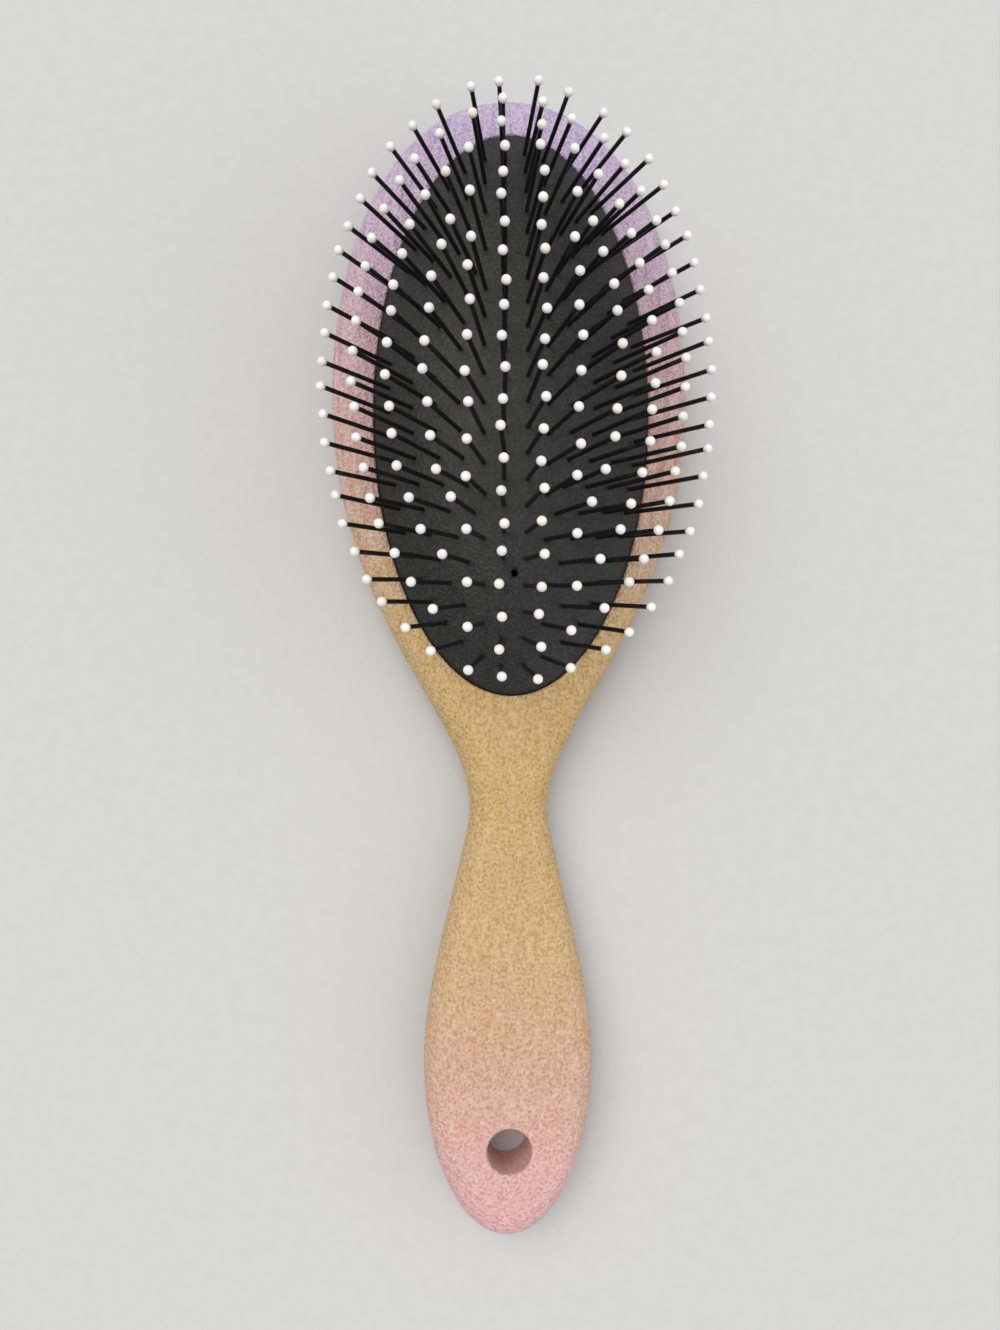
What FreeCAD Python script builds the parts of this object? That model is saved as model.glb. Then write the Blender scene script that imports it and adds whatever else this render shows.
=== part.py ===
import FreeCAD, Part
import math
import os

# Oval cushion hair brush lying on its back, in millimetres.
# X runs across the brush, Y along it with the head at +Y, and Z up through the pins.
# The origin is on the surface the brush lies on, under the middle of its length.

# Rubber cushion
pad_width = 53.5
pad_length = 112.0
dome_rise = 11.8
dome_fullness_share = 0.844
membrane = 1.5
flange_reach = 2.6
flange_thickness = 1.5
vent_diameter = 1.3
vent_place_share = 0.607

# Moulded body, in plan
frame_side = 8.65
frame_top = 9.1
head_bias = 5.0
shoulder_length = 21.5
neck_to_grip = 46.5
grip_to_end = 32.8
neck_width = 15.0
grip_width = 31.8
head_handle_shares = (0.66, 0.52)
shoulder_handle_shares = (0.556, 0.219)
neck_handle_shares = (0.164, 0.328)
end_handle_shares = (0.552, 0.552)
outline_steps = 6

# Moulded body, in height
rim_height = 12.5
front_pole_heights = (12.5, 10.0, 14.6, 14.4, 9.6)
parting_height = 7.2
wall = 2.2
front_edge_radius = 4.6
back_edge_radius = 4.6
back_flat_width = 28.0
back_curve_radius = 115.0
window_clearance = 0.2
window_edge_radius = 0.5

# Hang hole
hang_hole_diameter = 8.2
hang_hole_to_end = 16.5
sleeve_wall = 1.8
sleeve_clearance = 0.1
hang_edge_radius = 0.6

# Locating pegs between the two shells
boss_diameter = 6.0
peg_diameter = 3.0
peg_length = 3.0
peg_clearance = 0.05
first_peg_to_neck = 9.5
peg_spacing = 25.0
peg_count = 3

# Cushion carrier and the posts under it
carrier_plate = 1.6
carrier_depth = 2.6
carrier_rim_width = 3.8
post_diameter = 4.0
post_shares = ((0.0, 0.72), (0.55, 0.35), (0.55, -0.35), (0.0, -0.72))

# Pins and their ball tips
pin_diameter = 0.85
pin_reach = 17.45
pin_clearance = 0.05
foot_diameter = 2.0
foot_thickness = 0.6
foot_gap = 0.35
tip_diameter = 1.75
tip_clearance = 0.02
fan_across = 28.4
fan_along = 230.0
lean_scatter_degrees = 1.6
scatter_step_shares = (0.618, 0.755)
scatter_start_shares = (0.37, 0.57)

# Pin columns on one side, from the centre line outwards
centre_column_share = 0.080
centre_end_share = 0.904
centre_count = 22
column_end_share = 0.215
column_reach_shares = (0.226, 0.400, 0.564, 0.728, 0.892)
column_end_shares = (0.349, 0.496, 0.643, 0.768, 0.875)
column_counts = (8, 12, 16, 20, 24)

# One overrun serves every cut
overrun = 5.0

X_AXIS = FreeCAD.Vector(1, 0, 0)
Y_AXIS = FreeCAD.Vector(0, 1, 0)
Z_AXIS = FreeCAD.Vector(0, 0, 1)
on_outline = 1e-4

# Places worked out from the sizes above
pad_half_x = pad_width / 2
pad_half_y = pad_length / 2
head_half = pad_half_x + frame_side
neck_half = neck_width / 2
grip_half = grip_width / 2
brush_length = frame_top + pad_length + shoulder_length + neck_to_grip + grip_to_end
head_end_y = brush_length / 2
pad_y = head_end_y - frame_top - pad_half_y
widest_y = pad_y + head_bias
pad_low_y = pad_y - pad_half_y
neck_y = pad_low_y - shoulder_length
grip_y = neck_y - neck_to_grip
handle_end_y = grip_y - grip_to_end
hang_y = handle_end_y + hang_hole_to_end
top_height = max(rim_height, *front_pole_heights) + overrun
flange_top = rim_height - wall
flange_low = flange_top - flange_thickness
plate_top = flange_low - carrier_depth
plate_low = plate_top - carrier_plate
seat_half_x = pad_half_x + flange_reach
seat_half_y = pad_half_y + flange_reach

# The dome is a cap of an ellipsoid that meets the frame's face on the pad's oval
dome_axis_z = dome_rise / (1 - math.sqrt(1 - dome_fullness_share**2))
dome_axis_x = pad_half_x / dome_fullness_share
dome_axis_y = pad_half_y / dome_fullness_share
dome_centre_z = rim_height + dome_rise - dome_axis_z


def between(low, high, share):
    return low + (high - low) * share


def vector(x, y, z):
    return FreeCAD.Vector(x, y, z)


def cylinder(x, y, z_low, z_high, diameter):
    return Part.makeCylinder(diameter / 2, z_high - z_low, vector(x, y, z_low), Z_AXIS)


def oval_prism(half_x, half_y, z_low, z_high):
    centre = vector(0, pad_y, z_low)
    oval = Part.Ellipse(centre + Y_AXIS * half_y, centre + X_AXIS * half_x, centre)
    return Part.Face(Part.Wire(oval.toShape())).extrude(Z_AXIS * (z_high - z_low))


def bezier(*poles):
    curve = Part.BezierCurve()
    curve.setPoles(list(poles))
    return curve.toShape()


def half_outline():
    """The right half of the plan, from the head's end down to the handle's end."""

    def along(x, y, low_y, share):
        return vector(x, between(y, low_y, share), 0)

    head_end = vector(0, head_end_y, 0)
    widest = vector(head_half, widest_y, 0)
    neck = vector(neck_half, neck_y, 0)
    grip = vector(grip_half, grip_y, 0)
    handle_end = vector(0, handle_end_y, 0)
    first, second = head_handle_shares
    head = [head_end, vector(head_half * first, head_end_y, 0)]
    head += [along(head_half, widest_y, head_end_y, second), widest]
    first, second = shoulder_handle_shares
    shoulder = [widest, along(head_half, widest_y, neck_y, first)]
    shoulder += [along(neck_half, neck_y, widest_y, second), neck]
    first, second = neck_handle_shares
    swell = [neck, along(neck_half, neck_y, grip_y, first)]
    swell += [along(grip_half, grip_y, neck_y, second), grip]
    first, second = end_handle_shares
    end = [grip, along(grip_half, grip_y, handle_end_y, first)]
    end += [vector(grip_half * second, handle_end_y, 0), handle_end]
    points = []
    for poles in (head, shoulder, swell, end):
        points += bezier(*poles).discretize(Number=outline_steps + 1)[:-1]
    return points + [handle_end]


def closed_curve(points):
    curve = Part.BSplineCurve()
    curve.interpolate(Points=points, PeriodicFlag=True)
    return curve


def outline(inset):
    """The whole plan as one smooth closed curve, moved inwards by the inset."""
    right = half_outline()
    left = [vector(-point.x, point.y, 0) for point in right[-2:0:-1]]
    curve = closed_curve(right + left)
    if inset:
        inner = []
        for point in right + left:
            (along,) = curve.tangent(curve.parameter(point))
            inner.append(point + along.cross(Z_AXIS) * inset)
        curve = closed_curve(inner)
    return Part.Wire(curve.toShape())


def front_profile(inset):
    """Everything under the front's side view: flat over the head, then a waist, a swell and a falling end."""
    head = vector(0, head_end_y + overrun, rim_height - inset)
    pad_low = vector(0, pad_low_y, rim_height - inset)
    end_y = handle_end_y - overrun
    poles = [pad_low]
    for number, height in enumerate(front_pole_heights, 1):
        poles.append(vector(0, between(pad_low_y, end_y, number / len(front_pole_heights)), height - inset))
    under_end = vector(0, end_y, -overrun)
    under_head = vector(0, head.y, -overrun)
    edges = [Part.makeLine(head, pad_low), bezier(*poles), Part.makeLine(poles[-1], under_end)]
    edges += [Part.makeLine(under_end, under_head), Part.makeLine(under_head, head)]
    half = head_half + overrun
    face = Part.Face(Part.Wire(edges))
    face.translate(X_AXIS * -half)
    return face.extrude(X_AXIS * (half * 2))


def back_section(inset):
    """Everything above the back's cross section: a flat strip to lie on, and a slow curve up to each side."""
    flat = back_flat_width / 2
    half = head_half + overrun
    radius = back_curve_radius - inset
    sweep = math.asin((half - flat) / radius)

    def on_curve(side, angle):
        x = flat + radius * math.sin(angle)
        return vector(side * x, 0, back_curve_radius - radius * math.cos(angle))

    right = [on_curve(1, 0), on_curve(1, sweep / 2), on_curve(1, sweep)]
    left = [on_curve(-1, 0), on_curve(-1, sweep / 2), on_curve(-1, sweep)]
    top_right = vector(half, 0, top_height)
    top_left = vector(-half, 0, top_height)
    edges = [Part.makeLine(left[0], right[0]), Part.Arc(*right).toShape()]
    edges += [Part.makeLine(right[-1], top_right), Part.makeLine(top_right, top_left)]
    edges.append(Part.makeLine(top_left, left[-1]))
    edges.append(Part.Arc(left[-1], left[1], left[0]).toShape())
    face = Part.Face(Part.Wire(edges))
    face.translate(Y_AXIS * (handle_end_y - overrun))
    return face.extrude(Y_AXIS * (brush_length + overrun * 2))


def edges_on(wire, block, z_low, z_high):
    """Edges of the block that run along the plan's outline between two heights."""
    found = []
    for edge in block.Edges:
        middle = edge.valueAt((edge.FirstParameter + edge.LastParameter) / 2)
        foot = Part.Vertex(middle.x, middle.y, 0)
        box = edge.BoundBox
        if box.ZMin > z_low and box.ZMax < z_high and wire.distToShape(foot)[0] < on_outline:
            found.append(edge)
    return found


def body_form(inset):
    """The whole body's form, moved inwards by the inset and rounded along its edges."""
    wire = outline(inset)
    block = Part.Face(wire).extrude(Z_AXIS * top_height)
    block = block.common(front_profile(inset)).common(back_section(inset))
    block = block.makeFillet(front_edge_radius - inset, edges_on(wire, block, parting_height, top_height))
    return block.makeFillet(back_edge_radius - inset, edges_on(wire, block, -overrun, parting_height))


def half_space(z_low, z_high):
    half = head_half + overrun
    corner = vector(-half, handle_end_y - overrun, z_low)
    return Part.makeBox(half * 2, brush_length + overrun * 2, z_high - z_low, corner)


def peg_places():
    first = neck_y + first_peg_to_neck
    return [first - peg_spacing * n for n in range(peg_count)]


def rim_edges(shell, is_on_rim):
    """Edges that run round an opening, without the seams down its wall."""
    found = []
    for edge in shell.Edges:
        middle = edge.valueAt((edge.FirstParameter + edge.LastParameter) / 2)
        if is_on_rim(middle) and edge.BoundBox.ZLength < wall:
            found.append(edge)
    return found


def front_shell(form, hollow):
    upper = half_space(parting_height, top_height)
    shell = form.common(upper)
    room = hollow.common(upper)
    for y in peg_places():
        room = room.cut(cylinder(0, y, parting_height, top_height, boss_diameter))
    shell = shell.cut(room)
    socket_top = parting_height + peg_length + wall / 2
    for y in peg_places():
        shell = shell.cut(cylinder(0, y, -overrun, socket_top, peg_diameter + peg_clearance * 2))
    sleeve_diameter = hang_hole_diameter + sleeve_wall * 2
    sleeve = cylinder(0, hang_y, 0, top_height, sleeve_diameter).common(form)
    shell = shell.fuse(sleeve)
    recess_x = seat_half_x + window_clearance
    recess_y = seat_half_y + window_clearance
    shell = shell.cut(oval_prism(recess_x, recess_y, plate_low, flange_top))
    window_x = pad_half_x + window_clearance
    window_y = pad_half_y + window_clearance
    shell = shell.cut(oval_prism(window_x, window_y, plate_low, top_height))
    shell = shell.cut(cylinder(0, hang_y, -overrun, top_height, hang_hole_diameter))

    def on_window(point):
        oval = math.hypot(point.x / window_x, (point.y - pad_y) / window_y)
        return abs(oval - 1) < on_outline and point.z > (flange_top + rim_height) / 2

    def on_hang_hole(point):
        return abs(math.hypot(point.x, point.y - hang_y) - hang_hole_diameter / 2) < on_outline

    shell = shell.makeFillet(window_edge_radius, rim_edges(shell, on_window))
    return shell.makeFillet(hang_edge_radius, rim_edges(shell, on_hang_hole))


def back_shell(form, hollow):
    lower = half_space(-overrun, parting_height)
    shell = form.common(lower)
    room = hollow.common(lower)
    for y in peg_places():
        room = room.cut(cylinder(0, y, 0, parting_height, boss_diameter))
    for x_share, y_share in post_shares:
        for side in (1, -1) if x_share else (1,):
            x = side * x_share * pad_half_x
            room = room.cut(cylinder(x, pad_y + y_share * pad_half_y, 0, plate_low, post_diameter))
    shell = shell.cut(room)
    for y in peg_places():
        peg_top = parting_height + peg_length
        shell = shell.fuse(cylinder(0, y, parting_height - wall, peg_top, peg_diameter))
    seat = oval_prism(seat_half_x + window_clearance, seat_half_y + window_clearance, plate_low, top_height)
    shell = shell.cut(seat)
    sleeve_hole = hang_hole_diameter + sleeve_wall * 2 + sleeve_clearance * 2
    return shell.cut(cylinder(0, hang_y, -overrun, top_height, sleeve_hole))


def split_at_neck(shell):
    """The head's part and the grip's part of a shell, which meet face to face at the neck."""
    half = head_half + overrun
    corner = vector(-half, handle_end_y - overrun, -overrun)
    grip_side = Part.makeBox(half * 2, neck_y - corner.y, top_height + overrun, corner)
    return shell.cut(grip_side), shell.common(grip_side)


def cushion_carrier():
    dish = oval_prism(seat_half_x, seat_half_y, plate_low, flange_low)
    room_x = seat_half_x - carrier_rim_width
    room_y = seat_half_y - carrier_rim_width
    return dish.cut(oval_prism(room_x, room_y, plate_top, flange_low + overrun))


def dome(offset):
    """The half ellipsoid of the dome, moved inwards by the offset, and its oval on the frame's face."""
    axis_x = dome_axis_x - offset
    axis_y = dome_axis_y - offset
    axis_z = dome_axis_z - offset
    ball = Part.makeSphere(1, vector(0, 0, 0), Y_AXIS, -90, 90, 180)
    turn = math.degrees(math.atan2(ball.CenterOfMass.x, ball.CenterOfMass.z))
    ball.rotate(vector(0, 0, 0), Y_AXIS, -turn)
    stretch = FreeCAD.Matrix()
    stretch.scale(axis_x, axis_y, axis_z)
    form = ball.transformGeometry(stretch)
    form.translate(vector(0, pad_y, dome_centre_z))
    spread = math.sqrt(1 - ((rim_height - dome_centre_z) / axis_z) ** 2)
    return form, axis_x * spread, axis_y * spread


def dome_height(x, y):
    inside = 1 - (x / dome_axis_x) ** 2 - ((y - pad_y) / dome_axis_y) ** 2
    return dome_centre_z + dome_axis_z * math.sqrt(inside)


def column_places(column):
    """Places of the pins of one column on the right side, as seen from above, from the head down."""
    if column == 0:
        steps = [between(1, -1, n / (centre_count - 1)) for n in range(centre_count)]
        x = centre_column_share * pad_half_x
        return [(x, pad_y + step * centre_end_share * pad_half_y) for step in steps]
    reach = column_reach_shares[column - 1] * pad_half_x
    turn = math.acos(column_end_share / column_reach_shares[column - 1])
    length = column_end_shares[column - 1] * pad_half_y / math.sin(turn)
    centre = vector(0, pad_y, 0)
    oval = Part.Ellipse(centre + Y_AXIS * length, centre + X_AXIS * reach, centre)
    middle = oval.parameter(centre + X_AXIS * reach)
    arc = Part.ArcOfEllipse(oval, middle - turn, middle + turn).toShape()
    points = arc.discretize(Number=column_counts[column - 1])
    return sorted([(point.x, point.y) for point in points], key=lambda place: -place[1])


def scatter(number, column, axis):
    """A small lean of one pin, spread evenly over the range: pins never stand quite true in rubber."""
    share = (number * scatter_step_shares[axis] + column * scatter_start_shares[axis]) % 1
    return math.tan(math.radians(between(-lean_scatter_degrees, lean_scatter_degrees, share)))


def pin_placements(side, column):
    placements = []
    for number, (x, y) in enumerate(column_places(column)):
        x *= side
        line = column * 2 + (side > 0)
        lean_x = x / fan_across + scatter(number, line, 0)
        lean_y = (y - pad_y) / fan_along + scatter(number, line, 1)
        turn = FreeCAD.Rotation(Z_AXIS, vector(lean_x, lean_y, 1))
        placements.append(FreeCAD.Placement(vector(x, y, dome_height(x, y)), turn))
    return placements


def placed(form, placements):
    copies = []
    for placement in placements:
        copy = form.copy()
        copy.Placement = placement
        copies.append(copy)
    return Part.makeCompound(copies)


def pin_form():
    """One pin with its foot, along Z from the rubber's outer face."""
    foot_top = -membrane - foot_gap
    foot_low = foot_top - foot_thickness
    foot_radius = foot_diameter / 2
    radius = pin_diameter / 2
    profile = [(0, foot_low), (foot_radius, foot_low), (foot_radius, foot_top), (radius, foot_top)]
    profile += [(radius, pin_reach), (0, pin_reach), (0, foot_low)]
    face = Part.Face(Part.makePolygon([vector(r, 0, z) for r, z in profile]))
    return face.revolve(vector(0, 0, 0), Z_AXIS, 360)


def tip_form():
    ball = Part.makeSphere(tip_diameter / 2, vector(0, 0, pin_reach))
    socket = pin_diameter + tip_clearance * 2
    return ball.cut(cylinder(0, 0, pin_reach - tip_diameter, pin_reach + tip_clearance, socket))


def rubber_cushion(places):
    outer, outer_x, outer_y = dome(0)
    inner, inner_x, inner_y = dome(membrane)
    skin = oval_prism(outer_x, outer_y, flange_low, rim_height + dome_rise + overrun).common(outer)
    flange = oval_prism(seat_half_x, seat_half_y, flange_low, flange_top)
    room = oval_prism(inner_x, inner_y, dome_centre_z + overrun, rim_height + dome_rise).common(inner)
    rubber = skin.fuse(flange).cut(room)
    through = membrane + foot_gap + foot_thickness
    hole = cylinder(0, 0, -through, through, pin_diameter + pin_clearance * 2)
    holes = placed(hole, places)
    vent_y = pad_y - vent_place_share * pad_half_y
    vent = cylinder(0, vent_y, rim_height, rim_height + dome_rise + overrun, vent_diameter)
    return rubber.cut([*holes.Solids, vent])


os.makedirs("parts", exist_ok=True)
form = body_form(0)
hollow = body_form(wall)
nodes = {"cushion_carrier": cushion_carrier()}
for face, shell in (("front", front_shell(form, hollow)), ("back", back_shell(form, hollow))):
    nodes[f"{face}_head_shell"], nodes[f"{face}_grip_shell"] = split_at_neck(shell)
pin = pin_form()
tip = tip_form()
every_place = []
for side, word in ((-1, "left"), (1, "right")):
    for column in range(len(column_counts) + 1):
        places = pin_placements(side, column)
        every_place += places
        nodes[f"pins_{word}_{column}"] = placed(pin, places)
        nodes[f"tips_{word}_{column}"] = placed(tip, places)
nodes["rubber_cushion"] = rubber_cushion(every_place)
for name, shape in nodes.items():
    shape.exportStep(f"parts/{name}.step")
    print(name, len(shape.Solids), round(shape.Volume, 1), shape.isValid())
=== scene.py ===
import math

import bmesh
import bpy
from mathutils import Matrix, Vector


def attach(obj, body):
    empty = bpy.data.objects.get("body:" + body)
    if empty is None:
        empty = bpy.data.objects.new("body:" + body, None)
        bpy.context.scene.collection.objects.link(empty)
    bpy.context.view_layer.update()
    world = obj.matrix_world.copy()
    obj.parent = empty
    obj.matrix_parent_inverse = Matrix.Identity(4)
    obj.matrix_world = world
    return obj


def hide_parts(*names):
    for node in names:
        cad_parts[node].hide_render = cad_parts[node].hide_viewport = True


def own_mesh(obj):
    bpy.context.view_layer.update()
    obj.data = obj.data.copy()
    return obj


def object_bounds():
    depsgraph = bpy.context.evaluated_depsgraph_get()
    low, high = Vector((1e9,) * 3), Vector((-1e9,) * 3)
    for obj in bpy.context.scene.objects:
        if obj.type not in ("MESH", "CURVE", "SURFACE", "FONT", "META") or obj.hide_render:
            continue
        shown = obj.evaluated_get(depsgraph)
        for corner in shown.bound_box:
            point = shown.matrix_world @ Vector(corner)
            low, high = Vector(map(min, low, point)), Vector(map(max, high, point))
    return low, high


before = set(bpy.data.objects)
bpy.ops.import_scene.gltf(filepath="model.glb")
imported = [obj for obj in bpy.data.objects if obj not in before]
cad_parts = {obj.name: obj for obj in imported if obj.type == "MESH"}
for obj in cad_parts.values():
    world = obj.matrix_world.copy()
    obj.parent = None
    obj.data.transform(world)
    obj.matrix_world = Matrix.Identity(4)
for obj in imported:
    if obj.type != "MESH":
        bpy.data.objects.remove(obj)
cad_low, cad_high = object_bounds()

MM = 0.001

# The cushion, with the same sizes as the rubber solid's
pad_half_x = 26.75 * MM
pad_half_y = 56.0 * MM
pad_y = 45.85 * MM
rim_height = 12.5 * MM
dome_rise = 11.8 * MM
dome_fullness = 0.844
membrane_thickness = 1.5 * MM
tuck_depth = 2.2 * MM
flange_reach = 2.6 * MM
flange_thickness = 1.5 * MM
vent_radius = 0.65 * MM
vent_y = pad_y - 0.607 * pad_half_y
vent_cutter_length = 1.6 * dome_rise
dome_columns = 160
dome_rows = 128
vent_sides = 24

# The shells
brush_half = (cad_high[1] - cad_low[1]) / 2
fibre_starts_y = -12 * MM
fibre_full_y = 22 * MM
weld_distance = 0.002 * MM
sharp_degrees = 32
shell_nodes = ("front_head_shell", "front_grip_shell", "back_head_shell", "back_grip_shell")

# The stage
floor_half = 4000 * MM
floor_squares = 8
floor_drop = 0.2 * MM
sky_colour = (0.9, 0.92, 0.95, 1)
sky_strength = 0.50
camera_place = (-13.74 * MM, -21.7 * MM, 210.6 * MM)
camera_turn = (0.0866, -0.0583, 0.0093)
camera_lens = 28.2
camera_sensor = 36
nearest_seen = 10 * MM


# Finishes

def shade(red, green, blue):
    """A screen colour from 0 to 255, as the shader's linear colour."""
    channels = [channel / 255 for channel in (red, green, blue)]
    return (*[c / 12.92 if c <= 0.04045 else ((c + 0.055) / 1.055) ** 2.4 for c in channels], 1)


class Value:
    """A shader value that takes Python's operators."""

    def __init__(self, finish, socket):
        self.finish = finish
        self.socket = socket

    def maths(self, operation, first, second):
        return self.finish.add("ShaderNodeMath", {"operation": operation}, {0: first, 1: second})

    def __add__(self, other):
        return self.maths("ADD", self, other)

    def __sub__(self, other):
        return self.maths("SUBTRACT", self, other)

    def __rsub__(self, other):
        return self.maths("SUBTRACT", other, self)

    def __mul__(self, other):
        return self.maths("MULTIPLY", self, other)

    __radd__ = __add__
    __rmul__ = __mul__


class Finish:
    """One material: a Principled shader, and the nodes that feed it."""

    def __init__(self, name, constants):
        self.material = bpy.data.materials.new(name)
        self.material.use_nodes = True
        self.tree = self.material.node_tree
        self.shader = self.tree.nodes["Principled BSDF"]
        self.feed(constants)

    def put(self, socket, value):
        if isinstance(value, Value):
            self.tree.links.new(value.socket, socket)
        else:
            socket.default_value = value

    def feed(self, sockets):
        for name, value in sockets.items():
            self.put(self.shader.inputs[name], value)

    def add(self, kind, settings, sockets, output=0):
        node = self.tree.nodes.new(kind)
        for name, value in settings.items():
            if name == "stops":
                while len(node.color_ramp.elements) < len(value):
                    node.color_ramp.elements.new(1)
                for element, (place, colour) in zip(node.color_ramp.elements, value):
                    element.position = place
                    element.color = colour
            else:
                setattr(node, name, value)
        for name, value in sockets.items():
            self.put(node.inputs[name], value)
        return Value(self, node.outputs[output])

    def coordinates(self, stretch=(1, 1, 1)):
        place = self.add("ShaderNodeTexCoord", {}, {}, "Object")
        return self.add("ShaderNodeMapping", {}, {"Vector": place, "Scale": stretch})

    def noise(self, scale, detail=2, stretch=(1, 1, 1)):
        sockets = {"Vector": self.coordinates(stretch), "Scale": scale, "Detail": detail}
        return self.add("ShaderNodeTexNoise", {}, sockets)

    def between(self, value, low, high):
        """The value spread so that low becomes 0 and high becomes 1."""
        sockets = {"Value": value, "From Min": low, "From Max": high}
        return self.add("ShaderNodeMapRange", {"clamp": True}, sockets)

    def mix(self, factor, first, second, blend="MIX"):
        settings = {"data_type": "RGBA", "blend_type": blend}
        return self.add("ShaderNodeMix", settings, {0: factor, 6: first, 7: second}, 2)

    def bump(self, height, strength, distance):
        sockets = {"Height": height, "Strength": strength, "Distance": distance}
        return self.add("ShaderNodeBump", {}, sockets)


def ombre_plastic():
    """Pearly moulded plastic with a sandy embossed grain, sprayed from lavender through gold to pink,
    with painted shade in the grain's pits and painted highlights on its crests.
    """
    finish = Finish("ombre_plastic", {"Coat Roughness": 0.3, "Coat IOR": 1.45, "IOR": 1.48})
    place = finish.add("ShaderNodeSeparateXYZ", {}, {"Vector": finish.coordinates()}, 1)
    cloud = finish.noise(scale=45, detail=3)
    along = place * (0.5 / brush_half) + 0.5 + (cloud - 0.5) * 0.05
    stops = [
        (0.00, shade(235, 184, 184)),
        (0.06, shade(233, 184, 177)),
        (0.14, shade(219, 178, 150)),
        (0.24, shade(215, 177, 127)),
        (0.36, shade(211, 175, 111)),
        (0.50, shade(212, 176, 116)),
        (0.58, shade(215, 177, 140)),
        (0.66, shade(217, 175, 160)),
        (0.76, shade(215, 174, 182)),
        (0.86, shade(206, 177, 204)),
        (1.00, shade(196, 178, 217)),
    ]
    spray = finish.add("ShaderNodeValToRGB", {"stops": stops}, {"Fac": along})
    grain = finish.noise(scale=1900, detail=2, stretch=(1, 0.85, 1))
    sand = finish.noise(scale=4800, detail=2)
    fibre = finish.noise(scale=900, detail=4, stretch=(1, 0.16, 1))
    head = finish.between(place, low=fibre_starts_y, high=fibre_full_y)
    # Grain pits: their colour is darkened below as painted shade; they are also rougher and carry less
    # coat.
    shaded_pits = finish.between(grain, low=0.50, high=0.36)
    # Grain crests: their colour is brightened below as a painted highlight; they are also a little
    # smoother.
    highlit_crests = finish.between(grain, low=0.54, high=0.66)
    speck = finish.between(sand, low=0.60, high=0.75)
    streak = finish.between(fibre, low=0.40, high=0.68) * (0.10 + head * 0.24)
    furrow = finish.between(fibre, low=0.46, high=0.28) * (0.08 + head * 0.34)
    # Painted shade: the spray is darkened in the grain's pits.
    coloured = finish.mix(shaded_pits * 0.52, spray, spray, "MULTIPLY")
    coloured = finish.mix(furrow, coloured, spray, "MULTIPLY")
    # Painted highlight: the colour is screened brighter on the grain's crests.
    coloured = finish.mix(highlit_crests * 0.38, coloured, coloured, "SCREEN")
    coloured = finish.mix(speck * 0.10, coloured, shade(255, 246, 236))
    coloured = finish.mix(streak, coloured, shade(240, 220, 214))
    emboss = grain * 0.8 + sand * 0.2
    finish.feed({
        "Base Color": coloured,
        "Roughness": 0.46 + shaded_pits * 0.18 - highlit_crests * 0.10,
        "Coat Weight": 0.22 - shaded_pits * 0.12,
        "Normal": finish.bump(emboss, strength=1.0, distance=1.0 * MM),
    })
    return finish.material


def matt_rubber():
    """Black rubber, matt with a fine skin and a little paler dust on its crown."""
    finish = Finish("matt_rubber", {"IOR": 1.5})
    skin = finish.noise(scale=1700, detail=3)
    patch = finish.noise(scale=60, detail=4)
    dust = finish.between(patch, low=0.42, high=0.72)
    paler = finish.between(skin, low=0.42, high=0.70)
    black = finish.mix(dust * 0.55, shade(20, 20, 20), shade(40, 39, 38))
    black = finish.mix(paler * 0.55, black, shade(64, 63, 61))
    finish.feed({
        "Base Color": black,
        "Roughness": 0.52 + dust * 0.14,
        "Normal": finish.bump(skin, strength=0.6, distance=0.3 * MM),
    })
    return finish.material


def black_wire():
    """Black coated pin, a little worn along its length."""
    finish = Finish("black_wire", {"IOR": 1.5})
    scuffs = finish.noise(scale=700, detail=3, stretch=(1, 1, 0.2))
    wear = finish.between(scuffs, low=0.52, high=0.76)
    finish.feed({
        "Base Color": finish.mix(wear * 0.5, shade(22, 22, 23), shade(52, 51, 50)),
        "Roughness": 0.34 + wear * 0.22,
    })
    return finish.material


def white_ball():
    """White dipped tip with a soft shine and faint warm patches."""
    finish = Finish("white_ball", {"IOR": 1.48, "Coat Roughness": 0.2, "Coat Weight": 0.25})
    cloud = finish.noise(scale=520, detail=2)
    warm = finish.between(cloud, low=0.4, high=0.7)
    dull = finish.between(cloud, low=0.3, high=0.7)
    finish.feed({
        "Base Color": finish.mix(warm, shade(246, 244, 239), shade(234, 229, 219)),
        "Roughness": 0.30 + dull * 0.16,
    })
    return finish.material


def carrier_plastic():
    """Plain black moulding under the cushion."""
    finish = Finish("carrier_plastic", {"IOR": 1.46})
    cast = finish.noise(scale=900, detail=2)
    finish.feed({
        "Base Color": finish.mix(cast, shade(40, 40, 41), shade(54, 54, 55)),
        "Roughness": 0.45 + cast * 0.2,
        "Normal": finish.bump(cast, strength=0.2, distance=0.1 * MM),
    })
    return finish.material


def floor_paper():
    """Pale studio paper."""
    finish = Finish("floor_paper", {"IOR": 1.3})
    tooth = finish.noise(scale=350, detail=3)
    finish.feed({
        "Base Color": finish.mix(tooth, shade(198, 198, 197), shade(204, 204, 203)),
        "Roughness": 0.85 + tooth * 0.1,
    })
    return finish.material


# Pieces

def piece(name, bm, material):
    """A new object at the origin from the finished bmesh."""
    mesh = bpy.data.meshes.new(name)
    bm.to_mesh(mesh)
    bm.free()
    mesh.materials.append(material)
    made = bpy.data.objects.new(name, mesh)
    bpy.context.scene.collection.objects.link(made)
    return made


def smooth_shell(node, material):
    """A shell's own form with its facets joined, shaded as one smooth skin between its real edges."""
    bm = bmesh.new()
    bm.from_mesh(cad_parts[node].data)
    bmesh.ops.remove_doubles(bm, verts=bm.verts, dist=weld_distance)
    for face in bm.faces:
        face.smooth = True
        face.material_index = 0
    for edge in bm.edges:
        edge.smooth = edge.is_manifold and edge.calc_face_angle() < math.radians(sharp_degrees)
    made = piece(node.replace("shell", "body"), bm, material)
    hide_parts(node)
    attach(made, "handle")


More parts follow.
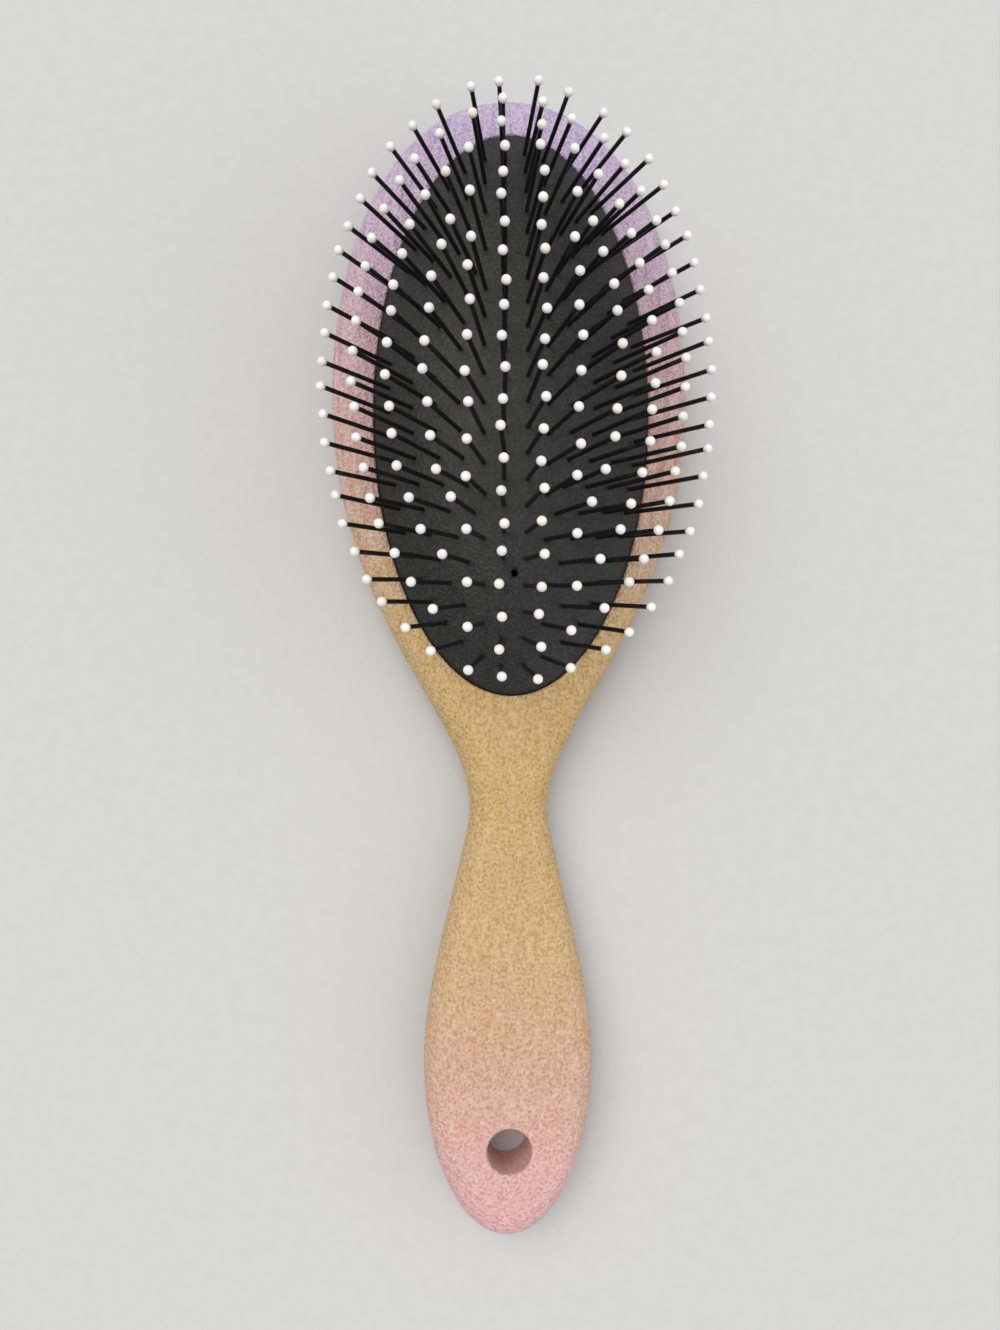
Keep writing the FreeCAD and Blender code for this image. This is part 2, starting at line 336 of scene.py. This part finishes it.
def membrane_dome(material):
    """The cushion's outer skin: an oval cap, then its tuck, flange and edge under the frame."""
    axis_z = dome_rise / (1 - math.sqrt(1 - dome_fullness**2))
    half_axes = (pad_half_x / dome_fullness, pad_half_y / dome_fullness, axis_z)
    centre = Vector((0, pad_y, rim_height + dome_rise - axis_z))
    bm = bmesh.new()
    bmesh.ops.create_uvsphere(bm, u_segments=dome_columns, v_segments=dome_rows, radius=1)
    bmesh.ops.scale(bm, verts=bm.verts, vec=half_axes)
    bmesh.ops.translate(bm, verts=bm.verts, vec=centre)
    bmesh.ops.bisect_plane(
        bm,
        geom=[*bm.verts, *bm.edges, *bm.faces],
        plane_co=(0, 0, rim_height),
        plane_no=(0, 0, 1),
        clear_inner=True,
    )
    flare = (1 + flange_reach / pad_half_x, 1 + flange_reach / pad_half_y, 1)
    drops = {"tuck": tuck_depth, "edge": flange_thickness / 2}
    about_pad = Matrix.Translation((0, -pad_y, 0))
    for step in ("tuck", "flange", "edge"):
        rim = [edge for edge in bm.edges if edge.is_boundary]
        grown = bmesh.ops.extrude_edge_only(bm, edges=rim)["geom"]
        moved = [part for part in grown if isinstance(part, bmesh.types.BMVert)]
        if step == "flange":
            bmesh.ops.scale(bm, verts=moved, vec=flare, space=about_pad)
        else:
            bmesh.ops.translate(bm, verts=moved, vec=(0, 0, -drops[step]))
    bmesh.ops.recalc_face_normals(bm, faces=bm.faces)
    for face in bm.faces:
        face.smooth = True
    return piece("cushion_dome", bm, material)


def vent_cutter(material):
    """A rod that stands through the dome where the vent is."""
    bm = bmesh.new()
    bmesh.ops.create_cone(
        bm,
        cap_ends=True,
        segments=vent_sides,
        radius1=vent_radius,
        radius2=vent_radius,
        depth=vent_cutter_length,
        matrix=Matrix.Translation((0, vent_y, rim_height + dome_rise)),
    )
    return piece("vent_cutter", bm, material)


def rubber_dome(material):
    """The cushion: the skin given its thickness, with the vent cut through it."""
    dome = membrane_dome(material)
    wall = dome.modifiers.new("membrane", "SOLIDIFY")
    wall.thickness = membrane_thickness
    wall.offset = -1
    wall.use_even_offset = True
    cutter = vent_cutter(material)
    vent = dome.modifiers.new("vent", "BOOLEAN")
    vent.operation = "DIFFERENCE"
    vent.solver = "EXACT"
    vent.object = cutter
    bpy.context.view_layer.update()
    depsgraph = bpy.context.evaluated_depsgraph_get()
    finished = bpy.data.meshes.new_from_object(dome.evaluated_get(depsgraph))
    dome.modifiers.clear()
    dome.data = finished
    bpy.data.objects.remove(cutter)
    for polygon in finished.polygons:
        polygon.use_smooth = True
    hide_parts("rubber_cushion")
    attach(dome, "handle")
    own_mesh(dome)


def dress(node, material):
    """The material on a solid that is shown as it is."""
    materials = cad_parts[node].data.materials
    materials.clear()
    materials.append(material)


body_finish = ombre_plastic()
for node in shell_nodes:
    smooth_shell(node, body_finish)
dress("cushion_carrier", carrier_plastic())
rubber_dome(matt_rubber())
wire = black_wire()
ball = white_ball()
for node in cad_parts:
    if node.startswith("pins_"):
        dress(node, wire)
    elif node.startswith("tips_"):
        dress(node, ball)


# Stage: floor, light and camera

floor_bm = bmesh.new()
bmesh.ops.create_grid(floor_bm, x_segments=floor_squares, y_segments=floor_squares, size=floor_half)
floor = piece("floor", floor_bm, floor_paper())
floor.location.z = -floor_drop


def lamp(name, place, spread_degrees, strength, colour):
    """A broad, far light that shines from the place towards the brush, even over the whole floor."""
    light = bpy.data.lights.new(name, "SUN")
    light.angle = math.radians(spread_degrees)
    light.energy = strength
    light.color = colour
    made = bpy.data.objects.new(name, light)
    made.location = place
    made.rotation_euler = (-Vector(place)).to_track_quat("-Z", "Y").to_euler()
    bpy.context.scene.collection.objects.link(made)


lamp("key", place=(-0.34, 0.30, 0.85), spread_degrees=50, strength=1.85, colour=(1, 0.97, 0.93))
lamp("fill", place=(0.55, -0.20, 0.70), spread_degrees=70, strength=0.85, colour=(0.95, 0.97, 1))
world = bpy.data.worlds.new("studio")
bpy.context.scene.world = world
world.use_nodes = True
background = world.node_tree.nodes["Background"].inputs
background["Color"].default_value = sky_colour
background["Strength"].default_value = sky_strength
bpy.context.scene.view_settings.view_transform = "Standard"

camera = bpy.data.cameras.new("camera")
camera.sensor_width = camera_sensor
camera.lens = camera_lens
camera.clip_start = nearest_seen
viewer = bpy.data.objects.new("camera", camera)
viewer.rotation_mode = "ZYX"
viewer.rotation_euler = camera_turn
viewer.location = camera_place
bpy.context.scene.collection.objects.link(viewer)
bpy.context.scene.camera = viewer
